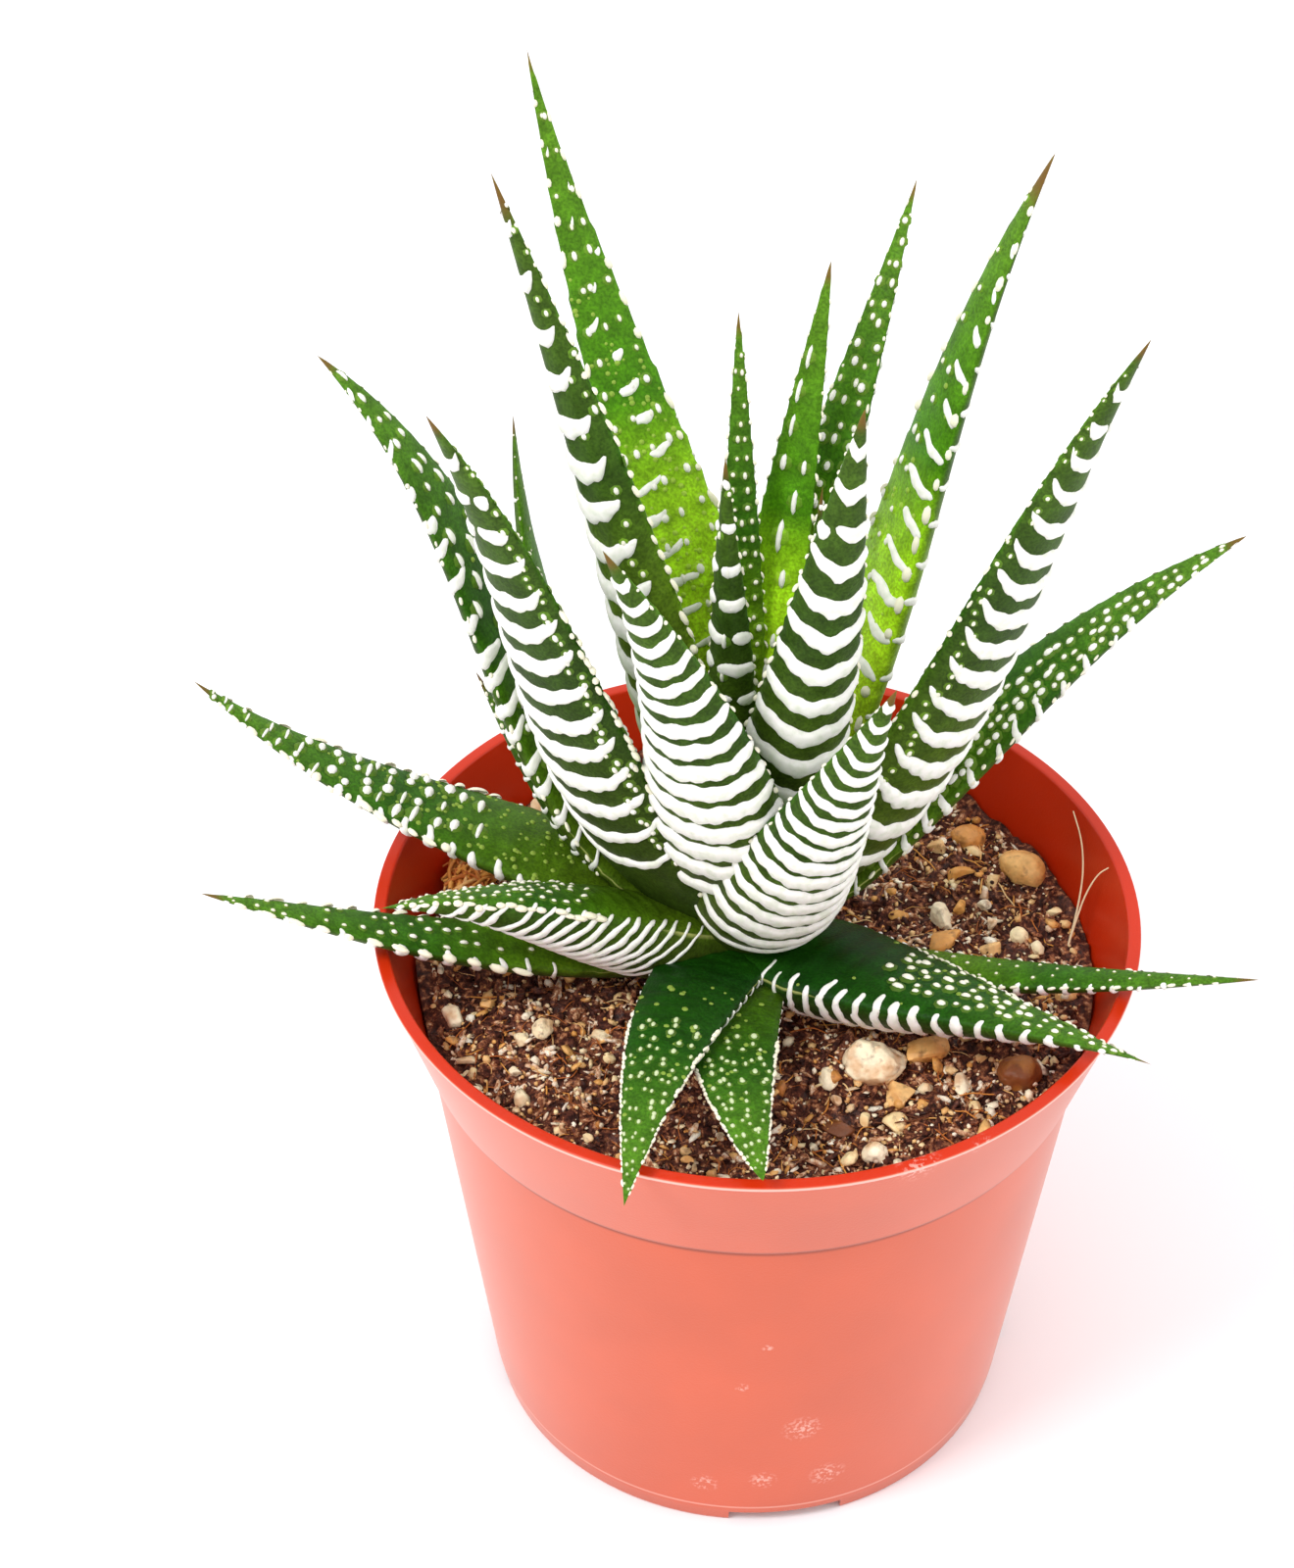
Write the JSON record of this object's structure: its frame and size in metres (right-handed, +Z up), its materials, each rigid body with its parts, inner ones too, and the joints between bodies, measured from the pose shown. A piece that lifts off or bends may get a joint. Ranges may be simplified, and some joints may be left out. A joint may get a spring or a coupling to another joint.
{
  "type": "potted haworthia",
  "caption": "Small rosette succulent with pointed dark green leaves ringed by raised white bands, growing in gritty soil in a round tapered plastic nursery pot.",
  "frame": {"origin": "on the standing surface, under the middle of the whole object's box", "axes": "+Z up along the pot's axis, -Y towards the side that the picture shows, +X to its right"},
  "size_m": [0.1236, 0.0992, 0.1651],
  "materials": {
    "pot_plastic": "moulded polypropylene, terracotta orange, finely etched outside and smoother inside",
    "soil_peat": "moist dark peat with fibres",
    "stem_tissue": "pale green, waxy",
    "leaf_skin": "firm waxy green skin with raised white bands and dots",
    "grit_stone": "rough cream and tan grit"
  },
  "bodies": {
    "root": {"pot": "pot_plastic", "soil": "soil_peat", "stem": "stem_tissue", "leaf_01": "leaf_skin", "leaf_02": "leaf_skin", "leaf_03": "leaf_skin", "leaf_04": "leaf_skin", "leaf_05": "leaf_skin", "leaf_06": "leaf_skin", "leaf_07": "leaf_skin", "leaf_08": "leaf_skin", "leaf_09": "leaf_skin", "leaf_10": "leaf_skin", "leaf_11": "leaf_skin", "leaf_12": "leaf_skin", "leaf_13": "leaf_skin", "leaf_14": "leaf_skin", "leaf_15": "leaf_skin", "leaf_16": "leaf_skin", "leaf_17": "leaf_skin", "leaf_18": "leaf_skin", "leaf_19": "leaf_skin", "leaf_20": "leaf_skin", "leaf_21": "leaf_skin", "leaf_22": "leaf_skin", "leaf_23": "leaf_skin", "leaf_24": "leaf_skin", "leaf_25": "leaf_skin", "leaf_26": "leaf_skin", "stone_01": "grit_stone", "stone_02": "grit_stone", "stone_03": "grit_stone", "stone_04": "grit_stone", "stone_05": "grit_stone", "stone_06": "grit_stone", "stone_07": "grit_stone", "stone_08": "grit_stone", "stone_09": "grit_stone", "stone_10": "grit_stone", "stone_11": "grit_stone", "stone_12": "grit_stone"}
  },
  "joints": []
}
